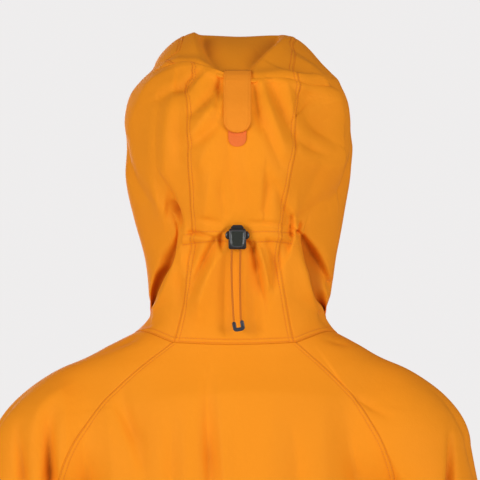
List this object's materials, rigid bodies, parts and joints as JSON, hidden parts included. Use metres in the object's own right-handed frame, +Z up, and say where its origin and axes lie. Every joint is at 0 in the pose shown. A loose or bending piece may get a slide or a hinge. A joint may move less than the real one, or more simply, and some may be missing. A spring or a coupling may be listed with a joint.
{
  "type": "hooded jacket",
  "caption": "Hip-length hooded raglan rain jacket worn with the hood up, with a hood volume tab, a drawcord with its lock and a closed front zip.",
  "frame": {"origin": "middle of the neck opening, level with the back neck seam, where the wearer's neck holds the jacket", "axes": "+Z up, -Y is the way the wearer faces, +X is the wearer's left"},
  "size_m": [0.6594, 0.327, 1.0934],
  "materials": {
    "orange_cloth": "satin polyurethane-coated knit, smooth and slightly rubbery",
    "tab_cloth": "the same coated cloth, two layers, edge stitched",
    "loop_tape": "short-pile loop tape, matt",
    "lock_black": "black moulded plastic, satin",
    "lock_face": "dark grey-green moulded plate with a raised rim",
    "clip_grey": "dark blue-grey moulded plastic",
    "cord_brown": "thin braided cord, dark orange",
    "zip_tape": "woven tape",
    "zip_teeth": "moulded plastic teeth",
    "zip_metal": "black painted metal"
  },
  "bodies": {
    "jacket": {"back": "orange_cloth", "front_left": "orange_cloth", "front_right": "orange_cloth", "sleeve_left": "orange_cloth", "sleeve_right": "orange_cloth", "hood_centre": "orange_cloth", "hood_side_left": "orange_cloth", "hood_side_right": "orange_cloth", "hood_tab": "tab_cloth", "tab_loop_patch": "loop_tape", "cord_lock_body": "lock_black", "cord_lock_face": "lock_face", "drawcord_left": "cord_brown", "drawcord_right": "cord_brown", "cord_end": "clip_grey", "zip_tape_left": "zip_tape", "zip_tape_right": "zip_tape", "zip_chain": "zip_teeth", "zip_slider": "zip_metal"},
    "lock_button": {"cord_lock_button": "lock_black"},
    "zip_pull_tab": {"zip_pull": "zip_metal"}
  },
  "joints": [
    {"name": "lock_button_press", "type": "slide", "parent": "jacket", "child": "lock_button", "axis": [0, 0, -1], "range_m": [0, 0.003], "stiffness_N_per_m": 400},
    {"name": "zip_pull_swing", "type": "hinge", "parent": "jacket", "child": "zip_pull_tab", "pos_m": [0, -0.11893, 0.01], "axis": [1, 0, 0], "range_deg": [-150, 0]}
  ]
}
